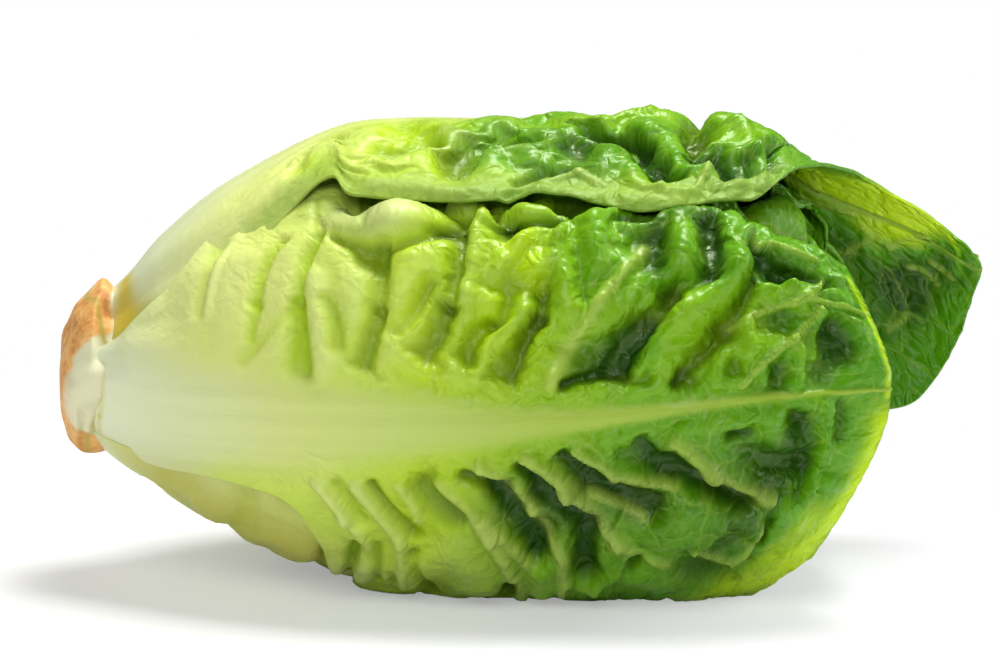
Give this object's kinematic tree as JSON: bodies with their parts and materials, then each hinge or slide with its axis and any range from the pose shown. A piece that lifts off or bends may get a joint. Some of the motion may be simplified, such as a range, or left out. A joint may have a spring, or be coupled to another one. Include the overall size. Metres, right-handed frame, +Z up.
{
  "type": "little gem lettuce",
  "caption": "Small long lettuce head lying on its side: crinkled green leaves wrapped round a pale heart, joined at a cut stem.",
  "frame": {"origin": "on the plane that the head rests on, under the centre of its bounding box", "axes": "+X along the head from the cut stem to the leaf tips, +Z up"},
  "size_m": [0.1622, 0.0888, 0.0822],
  "materials": {
    "stem": "moist cut stem, pale with a browned rim",
    "wrapper_leaf": "waxy leaf with a soft wet gloss, pale at its base and green at its tip",
    "middle_leaf": "waxy leaf with a soft gloss, yellow-green",
    "heart_leaf": "tender leaf with a soft gloss, pale yellow"
  },
  "bodies": {
    "root": {"stem": "stem", "top_wrapper_leaf": "wrapper_leaf", "front_wrapper_leaf": "wrapper_leaf", "under_wrapper_leaf": "wrapper_leaf", "back_wrapper_leaf": "wrapper_leaf", "middle_leaf_01": "middle_leaf", "middle_leaf_02": "middle_leaf", "middle_leaf_03": "middle_leaf", "middle_leaf_04": "middle_leaf", "middle_leaf_05": "middle_leaf", "middle_leaf_06": "middle_leaf", "middle_leaf_07": "middle_leaf", "middle_leaf_08": "middle_leaf", "middle_leaf_09": "middle_leaf", "middle_leaf_10": "middle_leaf", "heart_leaf_01": "heart_leaf", "heart_leaf_02": "heart_leaf", "heart_leaf_03": "heart_leaf", "heart_leaf_04": "heart_leaf", "heart_leaf_05": "heart_leaf", "heart_leaf_06": "heart_leaf"}
  },
  "joints": []
}
